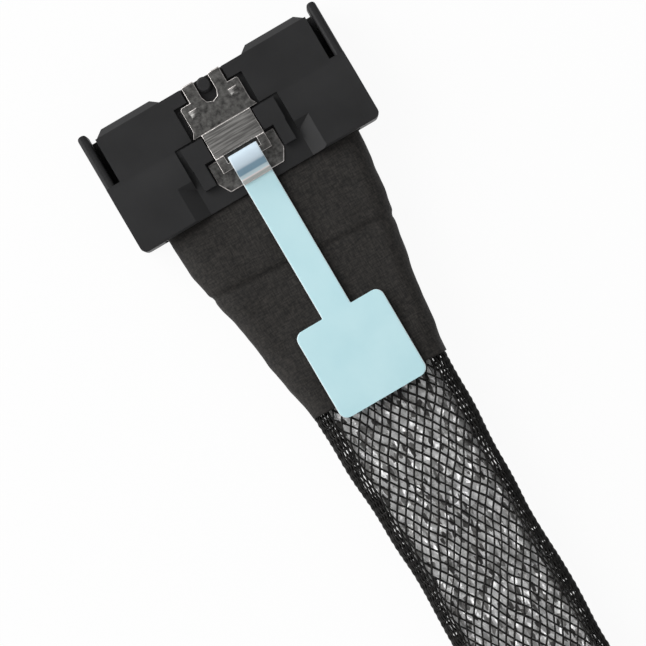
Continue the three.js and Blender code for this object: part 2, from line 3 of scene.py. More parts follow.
import bmesh
import bpy
import numpy as np
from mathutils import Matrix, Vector


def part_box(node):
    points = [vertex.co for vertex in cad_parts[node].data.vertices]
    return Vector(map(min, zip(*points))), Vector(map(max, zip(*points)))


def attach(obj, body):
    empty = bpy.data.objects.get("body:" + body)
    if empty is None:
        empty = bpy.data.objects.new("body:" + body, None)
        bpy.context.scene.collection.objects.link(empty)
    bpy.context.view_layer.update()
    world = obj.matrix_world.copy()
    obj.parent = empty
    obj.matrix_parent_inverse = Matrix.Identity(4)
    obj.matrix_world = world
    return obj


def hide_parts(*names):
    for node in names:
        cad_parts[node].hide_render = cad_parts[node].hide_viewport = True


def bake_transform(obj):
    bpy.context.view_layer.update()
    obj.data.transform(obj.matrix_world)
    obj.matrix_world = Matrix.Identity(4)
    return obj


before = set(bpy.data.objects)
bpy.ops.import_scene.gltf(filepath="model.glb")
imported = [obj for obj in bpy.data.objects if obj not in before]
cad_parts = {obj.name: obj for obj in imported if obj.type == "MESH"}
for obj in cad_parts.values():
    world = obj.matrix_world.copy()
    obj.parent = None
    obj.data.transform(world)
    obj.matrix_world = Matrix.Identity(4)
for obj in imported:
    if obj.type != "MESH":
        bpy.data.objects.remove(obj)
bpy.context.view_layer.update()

# Place of the two plugs
# Each plug is measured from the middle of its rear edge, on the plane where its two shells meet.
# Y runs forward, into the socket, and Z up to the side that has the latch.
MM = 0.001
ENDS = ("near", "far")
PLUG = {}
for end in ENDS:
    low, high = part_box(f"{end}_lower_shell")
    PLUG[end] = Vector((0, low.y, high.z))

# Camera
# It looks straight down on the near plug and its tail, as in the photograph, with the plug pointing to
# the upper right. The width of the picture at the height of the latch gives the lens.
PICTURE_WIDTH = 80.75 * MM
CAMERA_HEIGHT = 600 * MM
PICTURE_TURN = math.radians(-30.4)
PICTURE_CENTRE = (-2.22 * MM, -18.74 * MM)
LATCH_LEVEL = 8 * MM

lens = bpy.data.cameras.new("camera")
lens.lens = lens.sensor_width * CAMERA_HEIGHT / PICTURE_WIDTH
lens.clip_start = 0.01
camera = bpy.data.objects.new("camera", lens)
camera.location = (PICTURE_CENTRE[0], PLUG["near"].y + PICTURE_CENTRE[1], LATCH_LEVEL + CAMERA_HEIGHT)
camera.rotation_euler = (0, 0, PICTURE_TURN)
bpy.context.scene.collection.objects.link(camera)
bpy.context.scene.camera = camera
bpy.context.scene.view_settings.view_transform = "Standard"

# Studio: floor, backdrop and lights
# White paper under the cable and a tent round it that is pale at the picture's left and darker overhead
# and at its right, with one large lamp at the left. Metal shows the tent, and the floor keeps a faint shadow.
TENT_OVERHEAD = "#7d7d7d"
TENT_SHOULDER = "#b4b4b4"
TENT_SIDE = "#dcdcdc"
TENT_LEFTWARD = (-0.862, 0.506, 0.0)
TENT_LEFT_LEVEL = 1.25
TENT_RIGHT_LEVEL = 0.6
PAPER = "#f4f4f4"
PAPER_SIDE = 3.0
PAPER_GLOW = 0.94
KEY_DIRECTION = Vector((-0.64, 0.6, 0.58))
KEY_DISTANCE = 0.7
KEY_SIZE = 0.75
KEY_POWER = 5.8
FILL_DIRECTION = Vector((0.5, -0.6, 0.7))
FILL_POWER = 0.6


def linear(hex_colour):
    """An sRGB hex colour as linear red, green, blue and alpha"""
    parts = [int(hex_colour[i : i + 2], 16) / 255 for i in (1, 3, 5)]
    return [c / 12.92 if c <= 0.04045 else ((c + 0.055) / 1.055) ** 2.4 for c in parts] + [1.0]


def add(tree, kind, inputs=None, stops=(), **settings):
    """A shader node with its settings and colour stops, its inputs set to values or joined to outputs"""
    made = tree.nodes.new(kind)
    for name, value in settings.items():
        setattr(made, name, value)
    for name, value in (inputs or {}).items():
        if isinstance(value, bpy.types.NodeSocket):
            tree.links.new(value, made.inputs[name])
        else:
            made.inputs[name].default_value = value
    while len(stops) > 2 and len(made.color_ramp.elements) < len(stops):
        made.color_ramp.elements.new(0.5)
    for number, (position, colour) in enumerate(stops):
        made.color_ramp.elements[number].position = position
        made.color_ramp.elements[number].color = linear(colour)
    return made


world = bpy.data.worlds.new("tent")
bpy.context.scene.world = world
world.use_nodes = True
world.node_tree.nodes.clear()
tent = world.node_tree
direction = add(tent, "ShaderNodeTexCoord").outputs["Generated"]
upward = add(tent, "ShaderNodeSeparateXYZ", {"Vector": direction}).outputs["Z"]
tent_colour = add(tent, "ShaderNodeValToRGB", {"Fac": upward}, [
    (0.0, TENT_SIDE), (0.62, TENT_SHOULDER), (0.95, TENT_OVERHEAD)])
leftward = add(tent, "ShaderNodeVectorMath", {0: direction, 1: TENT_LEFTWARD}, operation="DOT_PRODUCT")
tent_level = add(tent, "ShaderNodeMapRange", {
    "Value": leftward.outputs["Value"], "From Min": -1.0, "From Max": 1.0,
    "To Min": TENT_RIGHT_LEVEL, "To Max": TENT_LEFT_LEVEL})
tent_light = add(tent, "ShaderNodeBackground", {
    "Color": tent_colour.outputs["Color"], "Strength": tent_level.outputs[0]})
tent_seen = add(tent, "ShaderNodeBackground", {"Color": linear("#ffffff")})
tent_ray = add(tent, "ShaderNodeLightPath")
tent_mix = add(tent, "ShaderNodeMixShader", {
    "Fac": tent_ray.outputs["Is Camera Ray"], 1: tent_light.outputs[0], 2: tent_seen.outputs[0]})
add(tent, "ShaderNodeOutputWorld", {"Surface": tent_mix.outputs[0]})

paper = bpy.data.materials.new("white_paper")
paper.use_nodes = True
paper.node_tree.nodes.clear()
paper_tree = paper.node_tree
paper_fibre = add(paper_tree, "ShaderNodeTexNoise", {"Scale": 900.0, "Detail": 3.0})
paper_bump = add(paper_tree, "ShaderNodeBump", {
    "Strength": 0.1, "Distance": 0.02 * MM, "Height": paper_fibre.outputs["Fac"]})
paper_matt = add(paper_tree, "ShaderNodeBsdfDiffuse", {
    "Color": linear(PAPER), "Normal": paper_bump.outputs["Normal"]})
paper_white = add(paper_tree, "ShaderNodeEmission", {"Color": linear("#ffffff"), "Strength": 1.0})
paper_ray = add(paper_tree, "ShaderNodeLightPath")
paper_direct = add(paper_tree, "ShaderNodeMath", {
    0: paper_ray.outputs["Is Camera Ray"], 1: paper_ray.outputs["Is Glossy Ray"]}, operation="MAXIMUM")
paper_shown = add(paper_tree, "ShaderNodeMath", {
    0: paper_direct.outputs[0], 1: paper_ray.outputs["Is Transmission Ray"]}, operation="MAXIMUM")
paper_share = add(paper_tree, "ShaderNodeMath", {
    0: paper_shown.outputs[0], 1: PAPER_GLOW}, operation="MULTIPLY")
paper_mix = add(paper_tree, "ShaderNodeMixShader", {
    "Fac": paper_share.outputs[0], 1: paper_matt.outputs[0], 2: paper_white.outputs[0]})
add(paper_tree, "ShaderNodeOutputMaterial", {"Surface": paper_mix.outputs[0]})

floor_mesh = bpy.data.meshes.new("paper")
floor_corners = [(x * PAPER_SIDE / 2, y * PAPER_SIDE / 2, 0) for x, y in ((-1, -1), (1, -1), (1, 1), (-1, 1))]
floor_mesh.from_pydata(floor_corners, [], [(0, 1, 2, 3)])
floor_mesh.materials.append(paper)
floor = bpy.data.objects.new("paper", floor_mesh)
bpy.context.scene.collection.objects.link(floor)

for lamp_name, towards, power in (("key", KEY_DIRECTION, KEY_POWER), ("fill", FILL_DIRECTION, FILL_POWER)):
    lamp = bpy.data.lights.new(lamp_name, "AREA")
    lamp.size = KEY_SIZE
    lamp.energy = power
    lamp_object = bpy.data.objects.new(lamp_name, lamp)
    lamp_object.location = towards.normalized() * KEY_DISTANCE
    lamp_object.rotation_euler = towards.to_track_quat("Z", "Y").to_euler()
    bpy.context.scene.collection.objects.link(lamp_object)

# Route of the cable
# The sleeved length leaves the near plug's tail, lies back along the floor, folds over in a round loop
# and comes forward again on top of itself, as a flat cable does in its hank.
# Each point is its distance behind the end of the near tape and the height of the cable's centre, in metres.
ROUTE = [
    (-0.006, 0.0042), (0.0, 0.0042), (0.01, 0.00408), (0.024, 0.00362), (0.04, 0.00337), (0.062, 0.00335),
    (0.084, 0.00335), (0.106, 0.0035), (0.122, 0.0042), (0.134, 0.00465), (0.151, 0.00465), (0.166, 0.0041),
    (0.183, 0.0035), (0.201, 0.00335), (0.2214, 0.00335), (0.22985, 0.00522), (0.23672, 0.01049),
    (0.24072, 0.01817), (0.2411, 0.02682), (0.23778, 0.03482), (0.2314, 0.04067), (0.22314, 0.04327),
    (0.21456, 0.04214), (0.20726, 0.03749), (0.19865, 0.0289), (0.19007, 0.02031), (0.18386, 0.01554),
    (0.17664, 0.01255), (0.16886, 0.0115), (0.155, 0.0115), (0.14, 0.0115), (0.126, 0.0114),
    (0.113, 0.01118), (0.108, 0.01115), (0.102, 0.01115),
]
TAPE_LENGTH = 29 * MM
tape_end = PLUG["near"].y - TAPE_LENGTH


def smooth_run(points, parts):
    """Points along the centripetal Catmull-Rom curve through the given ones, so many parts to a span"""
    points = np.array(points)
    held = np.vstack([2 * points[0] - points[1], points, 2 * points[-1] - points[-2]])
    share = np.linspace(0, 1, parts, endpoint=False)[:, None]
    run = []
    for before, start, stop, after in zip(held, held[1:], held[2:], held[3:]):
        k0, k1, k2 = (math.sqrt(math.dist(a, b)) for a, b in ((before, start), (start, stop), (stop, after)))
        leave = ((start - before) / k0 - (stop - before) / (k0 + k1) + (stop - start) / k1) * k1
        arrive = ((stop - start) / k1 - (after - start) / (k1 + k2) + (after - stop) / k2) * k1
        run.append(
            (2 * share**3 - 3 * share**2 + 1) * start + (share**3 - 2 * share**2 + share) * leave
            + (3 * share**2 - 2 * share**3) * stop + (share**3 - share**2) * arrive)
    run.append(points[-1:])
    return np.vstack(run)


route_line = smooth_run([(tape_end - back, height) for back, height in ROUTE], 24)
route_steps = np.linalg.norm(np.diff(route_line, axis=0), axis=1)
route_reach = np.concatenate([[0], np.cumsum(route_steps)])
route_slope = np.gradient(route_line, axis=0)
route_lean = np.unwrap(np.arctan2(route_slope[:, 1], -route_slope[:, 0]))
CABLE_LENGTH = route_reach[-1]


def on_route(along, across, rise):
    """Points at a length along the cable, across it and above its centre"""
    along, across, rise = np.broadcast_arrays(along, across, rise)
    lean = np.interp(along, route_reach, route_lean)
    y = np.interp(along, route_reach, route_line[:, 0]) + rise * np.sin(lean)
    z = np.interp(along, route_reach, route_line[:, 1]) + rise * np.cos(lean)
    return np.stack([across, y, z], axis=-1)


# Braided sleeve
# An open tube of black polyester monofilament, flattened over the ribbons. Each way round it has 55 ends
# that pass over and under the other 55 in a plain braid, so the foil shows through small diamonds. The ends
# crowd together at the two folded sides, and the tube narrows as it leaves the tape.
ENDS_EACH_WAY = 55
STRAND_WIDTH = 0.25 * MM
STRAND_THICKNESS = 0.2 * MM
STRAND_WAVE = 0.09 * MM
CROSSING_STEP = 0.95 * MM
SLEEVE_HALF_WIDTH = 8.55 * MM
SLEEVE_HALF_HEIGHT = 3.1 * MM
SLEEVE_CORNER = 2.45 * MM
SLEEVE_HALF_WIDTHS = [(0, 8.7), (6, 9.1), (15, 8.85), (28, 8.35), (60, 8.45)]
OUTLINE_WAVE = 0.1 * MM
FOLD_REACH = 3.9 * MM
FOLD_CROWDING = 2.4
BRAID_DRIFT = 0.17 * MM
DRIFT_WAVES = (3.5 * MM, 14 * MM)
FILAMENT_BLACK = "#0c0c0b"
FILAMENT_WORN = "#211f1d"


def round_section(half_width, half_height, corner, share):
    """Places on a rounded rectangle, and the directions out of it, at shares of the way round"""
    steps = 13
    turns = np.concatenate([np.linspace(quarter, quarter + 1, steps) for quarter in range(4)]) * math.pi / 2
    out = np.column_stack([np.cos(turns), np.sin(turns)])
    centres = np.repeat([(1, 1), (-1, 1), (-1, -1), (1, -1)], steps, axis=0)
    rim = centres * (half_width - corner, half_height - corner) + out * corner
    rim = np.vstack([rim, rim[:1]])
    out = np.vstack([out, out[:1]])
    way = np.concatenate([[0], np.cumsum(np.linalg.norm(np.diff(rim, axis=0), axis=1))])
    at = np.mod(share, 1) * way[-1]
    return [np.interp(at, way, column) for column in (*rim.T, *out.T)]


def ripple(seed, shortest, longest, count, *places):
    """A smooth uneven field between about -1 and 1, the sum of waves in random directions"""
    draw = np.random.default_rng(seed)
    field = 0
    for _ in range(count):
        length = math.exp(draw.uniform(math.log(shortest), math.log(longest)))
        heading = draw.normal(size=len(places))
        heading /= np.linalg.norm(heading)
        phase = draw.uniform(0, 2 * math.pi)
        field = field + np.sin(2 * math.pi / length * sum(h * p for h, p in zip(heading, places)) + phase)
    return field / math.sqrt(count)


def skins(name, lofts):
    """A mesh of closed skins, each through a row of rings of points"""
    points, faces, first = [], [], 0
    for rings in lofts:
        rows, around = rings.shape[:2]
        at = first + np.arange(rows * around).reshape(rows, around)
        beside = np.roll(at, -1, axis=1)
        walls = np.stack([at[:-1], beside[:-1], beside[1:], at[1:]], axis=-1)
        faces += walls.reshape(-1, 4).tolist() + [at[0, ::-1].tolist(), at[-1].tolist()]
        points.append(rings.reshape(-1, 3))
        first += rows * around
    mesh = bpy.data.meshes.new(name)
    mesh.from_pydata(np.vstack(points).tolist(), [], faces)
    shape = bmesh.new()
    shape.from_mesh(mesh)
    bmesh.ops.recalc_face_normals(shape, faces=shape.faces)
    shape.to_mesh(mesh)
    shape.free()
    mesh.shade_smooth()
    return mesh


def piece(name, mesh, material, body="root", nodes=()):
    """An object in place, with its material, its body and the nodes it stands for"""
    made = bpy.data.objects.new(name, mesh)
    if not mesh.materials:
        mesh.materials.append(material)
    bpy.context.scene.collection.objects.link(made)
    if nodes:
        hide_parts(*nodes)
    if body:
        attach(made, body)
    return made


def surface(name, **inputs):
    """A new material with its shader, and the place on the object as its coordinates"""
    material = bpy.data.materials.new(name)
    material.use_nodes = True
    tree = material.node_tree
    tree.nodes.clear()
    shader = add(tree, "ShaderNodeBsdfPrincipled", inputs)
    add(tree, "ShaderNodeOutputMaterial", {"Surface": shader.outputs[0]})
    place = add(tree, "ShaderNodeTexCoord").outputs["Object"]
    return material, tree, shader, place


perimeter = 4 * (SLEEVE_HALF_WIDTH + SLEEVE_HALF_HEIGHT - 2 * SLEEVE_CORNER) + 2 * math.pi * SLEEVE_CORNER
fold_ways = np.array([
    0, FOLD_REACH, perimeter / 2 - FOLD_REACH, perimeter / 2 + FOLD_REACH, perimeter - FOLD_REACH, perimeter])
crowding = np.array([FOLD_CROWDING, 1, FOLD_CROWDING, 1, FOLD_CROWDING])
crowded_ways = np.concatenate([[0], np.cumsum(np.diff(fold_ways) * crowding)])
END_PITCH = crowded_ways[-1] / ENDS_EACH_WAY
BRAID_SLOPE = END_PITCH / 2 / CROSSING_STEP


def way_round(ends):
    """The way round the sleeve to a count of ends, which lie closer together at the folded sides"""
    turns, rest = np.divmod(ends * END_PITCH, crowded_ways[-1])
    side_middle = SLEEVE_CORNER - SLEEVE_HALF_HEIGHT
    return np.interp(rest, crowded_ways, fold_ways) + turns * perimeter + side_middle


def on_sleeve(along, round_way, lift):
    """Points on the flattened tube at a length along it, a way round it and a height off it"""
    turn = round_way / perimeter * 2 * math.pi
    spot = (along, np.cos(turn) * perimeter / 6, np.sin(turn) * perimeter / 6)
    along = along + ripple(11, *DRIFT_WAVES, 9, *spot) * BRAID_DRIFT
    round_way = round_way + ripple(12, *DRIFT_WAVES, 9, *spot) * BRAID_DRIFT
    x, z, out_x, out_z = round_section(
        SLEEVE_HALF_WIDTH, SLEEVE_HALF_HEIGHT, SLEEVE_CORNER, round_way / perimeter)
    widths = np.array(SLEEVE_HALF_WIDTHS) * MM
    half_width = np.interp(np.minimum(along, CABLE_LENGTH - along), widths[:, 0], widths[:, 1])
    half_width = half_width + ripple(13, 9 * MM, 25 * MM, 7, along) * OUTLINE_WAVE
    return on_route(along, (x + out_x * lift) * half_width / SLEEVE_HALF_WIDTH, z + out_z * lift)


def strands(name, hand):
    """The strands that run round the sleeve one way, as closed lens-shaped skins"""
    count = int(CABLE_LENGTH / CROSSING_STEP)
    rows = np.arange(count + 1)[:, None]
    along = rows * (CABLE_LENGTH / count)
    lift = np.where(rows % 2 == 0, hand, -hand) * STRAND_WAVE
    tilt = math.hypot(1, BRAID_SLOPE)
    side = np.array([1, 0, -1, 0]) * STRAND_WIDTH / 2
    up = np.array([0, 1, 0, -1]) * STRAND_THICKNESS / 2
    lofts = []
    for strand in range(ENDS_EACH_WAY):
        round_way = way_round(strand + hand * rows / 2)
        lofts.append(on_sleeve(
            along - hand * side * BRAID_SLOPE / tilt, round_way + side / tilt, lift + up))
    return skins(name, lofts)


# Polyester monofilament: smooth extruded plastic with a soft gloss, greyer where it has rubbed, about every
# 0.9 mm, as the crossings are. The marks of its drawing are finer than shows and are drawn at 0.12 mm.
filament, tree, shader, place = surface("polyester_monofilament", Roughness=0.5, IOR=1.57)
shader.inputs["Specular IOR Level"].default_value = 0.25
rub = add(tree, "ShaderNodeTexNoise", {"Vector": place, "Scale": 1 / (0.9 * MM), "Detail": 4.0})
rubbed_colour = add(tree, "ShaderNodeValToRGB", {"Fac": rub.outputs["Fac"]}, [
    (0.35, FILAMENT_BLACK), (0.75, FILAMENT_WORN)])
tree.links.new(rubbed_colour.outputs["Color"], shader.inputs["Base Color"])
draw_marks = add(tree, "ShaderNodeTexNoise", {"Vector": place, "Scale": 1 / (0.12 * MM), "Detail": 2.0})
grain = add(tree, "ShaderNodeBump", {
    "Strength": 0.3, "Distance": 0.02 * MM, "Height": draw_marks.outputs["Fac"]})
tree.links.new(grain.outputs["Normal"], shader.inputs["Normal"])

braid_right, braid_left = (
    piece(name, strands(name, hand), filament, nodes=["braided_sleeve"])
    for name, hand in (("braid_right_hand", 1), ("braid_left_hand", -1)))

# Shielded ribbons
# Four flat ribbons of parallel wire pairs, each wrapped in thin aluminium foil that has crinkled over the
# wires. They leave the card side by side, above and below, and lie stacked inside the sleeve.
RIBBON_WIDTH = 13.6 * MM
RIBBON_AT_CARD = 12 * MM
RIBBON_THICKNESS = 0.86 * MM
RIBBON_LAYER = 1.54 * MM
RIBBON_STAGGER = 0.4 * MM
RIBBON_BUNDLES = 3
BUNDLE_CROWN = 0.14 * MM
CRINKLE = 0.07 * MM
# Facet colours, from painted shade through a middle tone to a painted white glint
FOIL_PAINTED_BRIGHT = "#f6f6f5"
FOIL_MIDDLE = "#dad9d7"
FOIL_PAINTED_SHADE = "#7c7a78"
FOIL_PAINTED_GLINT = "#ffffff"
FACET_WIDTH = 0.42 * MM
FACET_LENGTH = 0.95 * MM
FACET_LEAN = 1.45
LAYER_SHIFT = 900.0
CARD_RISE = 1.1
STACK_RISE = 1.95

# Forward of the plug's rear edge, off to one side, off the plug's middle (mm), and the share of full width
TAIL_STATIONS = [
    (4.5, 6.25, CARD_RISE, 0), (2, 6.25, CARD_RISE, 0), (-4, 6.25, CARD_RISE, 0.2),
    (-14.5, 3.64, STACK_RISE, 0.6), (-22.7, 0.45, STACK_RISE, 1)]


def ribbon(name, number, hand, layer, fine):
    """One foil ribbon from card to card, with crinkles on the face that shows through the braid"""
    outward = 1 if layer > 0 else -1
    across_parts, step = (30, 0.6 * MM) if fine else (8, 2 * MM)
    share = np.linspace(-1, 1, across_parts + 1)
    rows = int(CABLE_LENGTH / step)
    along = np.linspace(0, CABLE_LENGTH, rows + 1)[:, None]
    x = share * RIBBON_WIDTH / 2
    bundle = np.abs(np.sin(math.pi * RIBBON_BUNDLES * (share + 1) / 2)) ** 0.5 - 1
    edge = np.sqrt(np.clip(1 - np.abs(share) ** 24, 0, 1))
    crinkle = ripple(30 + number, 0.9 * MM, 3.2 * MM, 16, along * 0.6, x) * CRINKLE * edge
    creased = np.abs(ripple(40 + number, 2 * MM, 7 * MM, 10, along * 0.45, x)) * CRINKLE * edge
    half = RIBBON_THICKNESS / 2 * edge
    front_face = half + bundle * BUNDLE_CROWN * edge + crinkle - creased
    back_face = -half + 0 * along
    level = layer * RIBBON_LAYER
    shift = x + hand * RIBBON_STAGGER
    front_points = on_route(along, shift, level + outward * front_face)
    back_points = on_route(along, shift[::3], level + outward * back_face[:, ::3])
    run = np.concatenate([front_points, back_points[:, ::-1]], axis=1)
    tails = []
    for end, turn in (("near", 1), ("far", -1)):
        tail = []
        for y, side_shift, rise, widening in TAIL_STATIONS:
            width = RIBBON_AT_CARD + (RIBBON_WIDTH - RIBBON_AT_CARD) * widening
            fit = abs(level) / (STACK_RISE * MM) * rise if rise > CARD_RISE else rise
            centre = (hand * side_shift * MM, y * MM, turn * outward * fit * MM)
            ring_x = np.concatenate([share, share[::3][::-1]]) * width / 2 + centre[0]
            ring_z = np.concatenate([outward * half, -outward * half[::3][::-1]]) * turn + centre[2]
            tail.append(np.column_stack([
                ring_x, np.full_like(ring_x, PLUG[end].y + centre[1]), PLUG[end].z + ring_z]))
        tails.append(np.array(tail if turn > 0 else tail[::-1]))
    rings = np.concatenate([tails[0], run, tails[1]])
    mesh = skins(name, [rings])
    lay = np.zeros(rings.shape)
    lay[:, :, 0] = np.concatenate([share, share[::3][::-1]]) * RIBBON_WIDTH / 2
    lay[:, :, 1] = np.concatenate([np.zeros(len(tails[0])), along[:, 0], np.zeros(len(tails[1]))])[:, None]
    lay[:, :, 2] = layer * MM
    mesh.attributes.new("lay", "FLOAT_VECTOR", "POINT").data.foreach_set("vector", lay.ravel())
    return mesh


# Aluminium foil tape: bright rolled metal that has crinkled into small flat facets, each turned its own way.
# Each facet's colour is also painted lighter or darker at random, with painted glints on some and painted
# shade on others, so some show white and some stay dark. A facet is about 0.4 by 0.9 mm, longer along the
# ribbon.
foil, tree, shader, place = surface("aluminium_foil_tape", Metallic=0.2, Roughness=0.3)
shader.inputs["Specular IOR Level"].default_value = 0.9
lay = add(tree, "ShaderNodeAttribute", attribute_name="lay").outputs["Vector"]
stretched = add(tree, "ShaderNodeMapping", {
    "Vector": lay, "Scale": (1 / FACET_WIDTH, 1 / FACET_LENGTH, LAYER_SHIFT)})
facets = add(tree, "ShaderNodeTexVoronoi", {"Vector": stretched.outputs[0], "Scale": 1.0})
streaks = add(tree, "ShaderNodeTexNoise", {"Vector": stretched.outputs[0], "Scale": 2.0, "Detail": 3.0})
facet_draw = add(tree, "ShaderNodeSeparateXYZ", {"Vector": facets.outputs["Color"]})
facet_tone = add(tree, "ShaderNodeMath", {
    0: facet_draw.outputs["Z"], 1: streaks.outputs["Fac"]}, operation="MULTIPLY")
# Each facet gets a random colour from painted shade to a painted white glint, streaked along the ribbon
facet_painted_light = add(tree, "ShaderNodeValToRGB", {"Fac": facet_tone.outputs[0]}, [
    (0.04, FOIL_PAINTED_SHADE), (0.12, FOIL_MIDDLE), (0.17, FOIL_PAINTED_BRIGHT), (0.4, FOIL_PAINTED_GLINT)])
tree.links.new(facet_painted_light.outputs["Color"], shader.inputs["Base Color"])
facet_lean = add(tree, "ShaderNodeVectorMath", {
    0: facets.outputs["Color"], 1: (0.5, 0.5, 0.5)}, operation="SUBTRACT")
facet_turn = add(tree, "ShaderNodeVectorMath", {
    0: facet_lean.outputs[0], "Scale": FACET_LEAN}, operation="SCALE")
foil_facing = add(tree, "ShaderNodeNewGeometry").outputs["Normal"]
facet_sum = add(tree, "ShaderNodeVectorMath", {0: foil_facing, 1: facet_turn.outputs[0]}, operation="ADD")
facet_normal = add(tree, "ShaderNodeVectorMath", {0: facet_sum.outputs[0]}, operation="NORMALIZE")
tree.links.new(facet_normal.outputs[0], shader.inputs["Normal"])

for number, hand, layer, fine in (
        (1, -1, 1.5, True), (2, 1, 0.5, False), (3, -1, -0.5, False), (4, 1, -1.5, True)):
    name = f"foil_ribbon_{number}"
    mesh = ribbon(name, number, hand, layer, fine)
    piece(name, mesh, foil, nodes=[f"ribbon_{number}"])

# Hank tie
# A soft woven hook-and-loop strap, 8 mm wide, wound once round both runs of the folded cable. Its end
# lies over its start on top, pressed down.
TIE_WIDTH = 8 * MM
TIE_THICKNESS = 0.9 * MM
TIE_INSIDE = 1 * MM
TIE_CORNER = 3.1 * MM
TIE_STARTS = 0.12
TIE_LAPS_FROM = 1.06
TIE_STOPS = 1.33
TIE_BLACK = "#1b1b1c"
TIE_LOOP = "#39393b"

tie_low, tie_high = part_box("hank_tie")
tie_middle = (tie_low + tie_high) / 2
tie_half = (tie_high - tie_low) / 2


def tie_rings():
    """The strap's rings along its way round both runs and over its own start, with rounded edges"""
    share = np.linspace(TIE_STARTS, TIE_STOPS, 130)
    x, z, out_x, out_z = round_section(tie_half.x - TIE_INSIDE, tie_half.z - TIE_INSIDE, TIE_CORNER, share)
    profile_y = np.array([-1, -0.96, -0.5, 0.5, 0.96, 1, 0.96, 0.5, -0.5, -0.96]) * TIE_WIDTH / 2
    profile_up = np.array([0.5, 0.92, 1, 1, 0.92, 0.5, 0.08, 0, 0, 0.08]) * TIE_THICKNESS
    ragged = ripple(71, 3 * MM, 12 * MM, 8, share[:, None] * 60 * MM, profile_y) * 0.05 * MM
    over_start = np.clip((share - TIE_LAPS_FROM) / 0.08, 0, 1) * TIE_THICKNESS
    rise = profile_up + ragged + over_start[:, None]
    return np.stack([
        tie_middle.x + x[:, None] + out_x[:, None] * rise,
        tie_middle.y + np.broadcast_to(profile_y, rise.shape),
        tie_middle.z + z[:, None] + out_z[:, None] * rise], axis=-1)


# Woven hook-and-loop: dull black cloth with a pile of small loops, which stand in tufts about 0.35 mm apart
tie_cloth, tree, shader, place = surface("woven_hook_and_loop", Roughness=0.9)
tufts = add(tree, "ShaderNodeTexNoise", {
    "Vector": place, "Scale": 1 / (0.35 * MM), "Detail": 5.0, "Roughness": 0.7})
tuft_colour = add(tree, "ShaderNodeValToRGB", {"Fac": tufts.outputs["Fac"]}, [
    (0.35, TIE_BLACK), (0.7, TIE_LOOP)])
tree.links.new(tuft_colour.outputs["Color"], shader.inputs["Base Color"])
pile = add(tree, "ShaderNodeBump", {"Strength": 0.9, "Distance": 0.2 * MM, "Height": tufts.outputs["Fac"]})
tree.links.new(pile.outputs["Normal"], shader.inputs["Normal"])
tie_mesh = skins("hook_and_loop_strap", [tie_rings()])
hank_tie = piece("hook_and_loop_strap", tie_mesh, tie_cloth, nodes=["hank_tie"])

# Tape wrap
# Black acetate cloth tape wound round the tail where the ribbons fan out from the sleeve to the card. It
# starts in the housing's rear port, laps over itself once and ends on the sleeve, cut at a slight slant.
TAPE_WALL = 0.4 * MM
TAPE_CORNER = 2.5 * MM
LAP_AT = 10.2 * MM
LAP_SLANT = 0.085
LAP_STEP = 0.26 * MM
LAP_GROOVE = 0.16 * MM
SLANTS_FROM = 18 * MM
SLANTS_OVER = 11 * MM
END_SLANT = 0.05
WRINKLE = 0.1 * MM
CREASE = 0.025 * MM
FLECK_WIDTH = 0.17 * MM
FLECK_LENGTH = 0.8 * MM
FLECK_DEPTH = 0.4 * MM
TAPE_BLACK = "#121110"
TAPE_THREAD = "#34312e"

# Distance behind the plug's rear edge, and the width and height of the wrap there, in mm
TAPE_STATIONS = [
    (-1, 27.8, 5.2), (0, 27.8, 5.2), (4, 27.2, 6.5), (9.8, 25.5, 6.8), (19.8, 22, 7.7), (29, 19.1, 8.2)]


def tape_skin(name, end):
    """The wrap's outer face with its lap and wrinkles, turned in at both ends to its inner face"""
    tucked = np.linspace(-0.9, 8, 28)
    lapped = np.linspace(8.2, 11, 29)
    onward = np.linspace(11.3, 29, 60)
    backs = np.concatenate([tucked, lapped, onward]) * MM
    share = np.linspace(0, 1, 160, endpoint=False)
    stations = np.array(TAPE_STATIONS) * MM
    rings = []
    for inner in (False, True):
        for back in (backs[::-6] if inner else backs):
            around = np.clip(back + np.linspace(-1.4, 1.4, 9) * MM, 0, TAPE_LENGTH)
            width, height = (
                np.mean(np.interp(around, stations[:, 0], column)) for column in stations[:, 1:].T)
            wall = TAPE_WALL if inner else 0
            corner = min(TAPE_CORNER, height / 2 - 0.5 * MM) - wall
            x, z, out_x, out_z = round_section(width / 2 - wall, height / 2 - wall, corner, share)
            slant = np.clip((back - SLANTS_FROM) / SLANTS_OVER, 0, 1) * END_SLANT
            lift = np.zeros_like(x)
            if not inner and back > 0:
                lap_line = LAP_AT + LAP_SLANT * x
                past = np.clip((back - lap_line) / (0.4 * MM), -1, 1)
                groove = LAP_GROOVE * np.exp(-((back - lap_line) / (0.5 * MM)) ** 2)
                lift = -LAP_STEP * (past + 1) / 2 - groove
                lift = lift + ripple(81, 4 * MM, 16 * MM, 12, back, x, z) * WRINKLE
                lift = lift + ripple(82, 1.5 * MM, 4 * MM, 10, back, x * 0.4, z) * CREASE
            y = -(back + slant * x)
            rings.append(np.column_stack([
                x + out_x * lift, PLUG[end].y + y, PLUG[end].z + z + out_z * lift]))
    return skins(name, [np.array(rings)])


